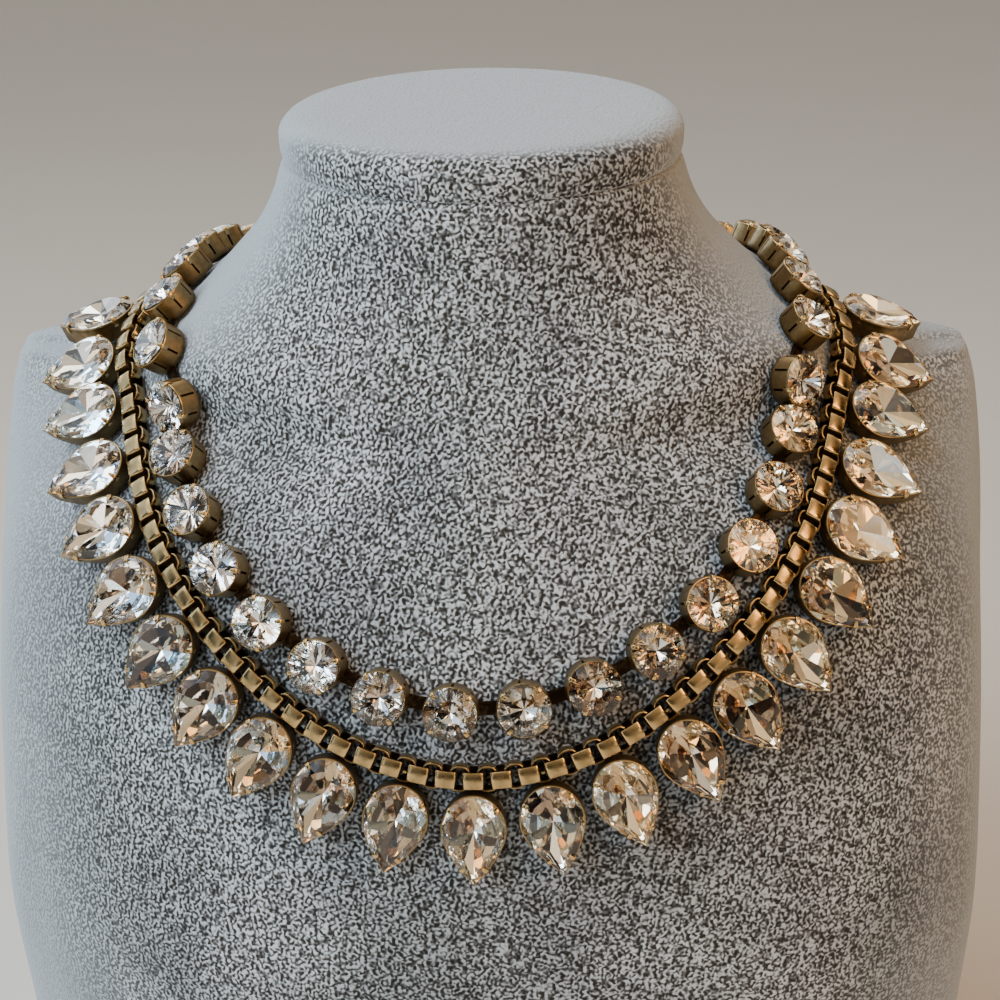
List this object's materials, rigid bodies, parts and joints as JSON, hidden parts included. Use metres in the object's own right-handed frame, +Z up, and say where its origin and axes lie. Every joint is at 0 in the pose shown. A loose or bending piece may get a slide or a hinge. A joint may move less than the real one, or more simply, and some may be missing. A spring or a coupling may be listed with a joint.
{
  "type": "tennis necklace on a neck bust",
  "caption": "Two-strand crystal tennis necklace, round stones above a box chain with pear drops, on a plain velvet neck bust.",
  "frame": {"origin": "middle of the bounding box at the bust's underside", "axes": "+Z up through the bust's neck, -Y towards the front of the bust, +X to the right in the picture"},
  "size_m": [0.1834, 0.1273, 0.205],
  "materials": {
    "velvet": "brushed grey velvet",
    "brass": "antique brass, polished edges and darkened recesses",
    "crystal": "clear faceted crystal, foil backed"
  },
  "bodies": {
    "root": {"neck_bust": "velvet", "cup_chain": "brass", "clasp": "brass", "box_chain": "brass", "pear_setting_01": "brass", "pear_stone_01": "crystal", "pear_setting_02": "brass", "pear_stone_02": "crystal", "pear_setting_03": "brass", "pear_stone_03": "crystal", "pear_setting_04": "brass", "pear_stone_04": "crystal", "pear_setting_05": "brass", "pear_stone_05": "crystal", "pear_setting_06": "brass", "pear_stone_06": "crystal", "pear_setting_07": "brass", "pear_stone_07": "crystal", "pear_setting_08": "brass", "pear_stone_08": "crystal", "pear_setting_09": "brass", "pear_stone_09": "crystal", "pear_setting_10": "brass", "pear_stone_10": "crystal", "pear_setting_11": "brass", "pear_stone_11": "crystal", "pear_setting_12": "brass", "pear_stone_12": "crystal", "pear_setting_13": "brass", "pear_stone_13": "crystal", "pear_setting_14": "brass", "pear_stone_14": "crystal", "pear_setting_15": "brass", "pear_stone_15": "crystal", "pear_setting_16": "brass", "pear_stone_16": "crystal", "pear_setting_17": "brass", "pear_stone_17": "crystal", "pear_setting_18": "brass", "pear_stone_18": "crystal", "pear_setting_19": "brass", "pear_stone_19": "crystal", "pear_setting_20": "brass", "pear_stone_20": "crystal", "pear_setting_21": "brass", "pear_stone_21": "crystal", "pear_setting_22": "brass", "pear_stone_22": "crystal", "pear_setting_23": "brass", "pear_stone_23": "crystal"}
  },
  "joints": []
}
